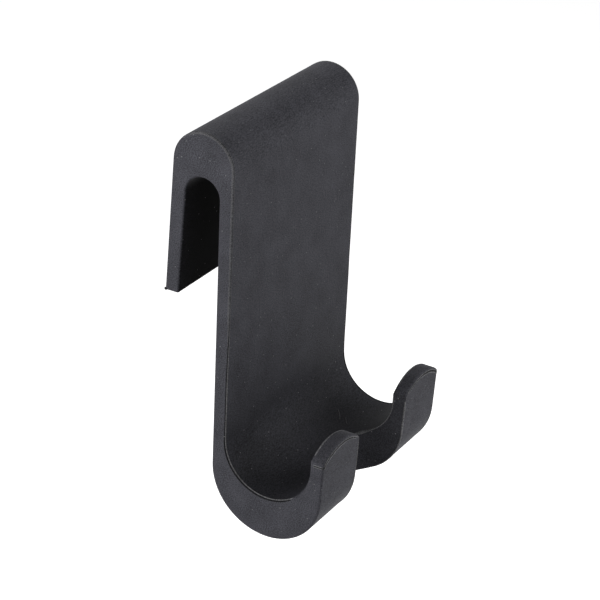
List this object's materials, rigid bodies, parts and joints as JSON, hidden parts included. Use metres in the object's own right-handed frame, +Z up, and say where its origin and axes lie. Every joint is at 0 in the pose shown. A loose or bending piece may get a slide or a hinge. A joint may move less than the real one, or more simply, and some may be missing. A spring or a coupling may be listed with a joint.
{
  "type": "over-panel hook",
  "caption": "Silicone hook that straddles the top edge of a glass panel, with a short rear leg and a long front plate that turns up into a trough with a notched lip of rounded tongues.",
  "frame": {"origin": "closed end of the panel slot, where the glass edge bears, at the middle of the hook's width", "axes": "+Z up, X along the panel's edge, -Y to the front, where the plate and the trough are"},
  "size_m": [0.05, 0.0396, 0.0875],
  "materials": {
    "silicone": "matte black moulded silicone with a fine grain"
  },
  "bodies": {
    "root": {"hook": "silicone"}
  },
  "joints": []
}
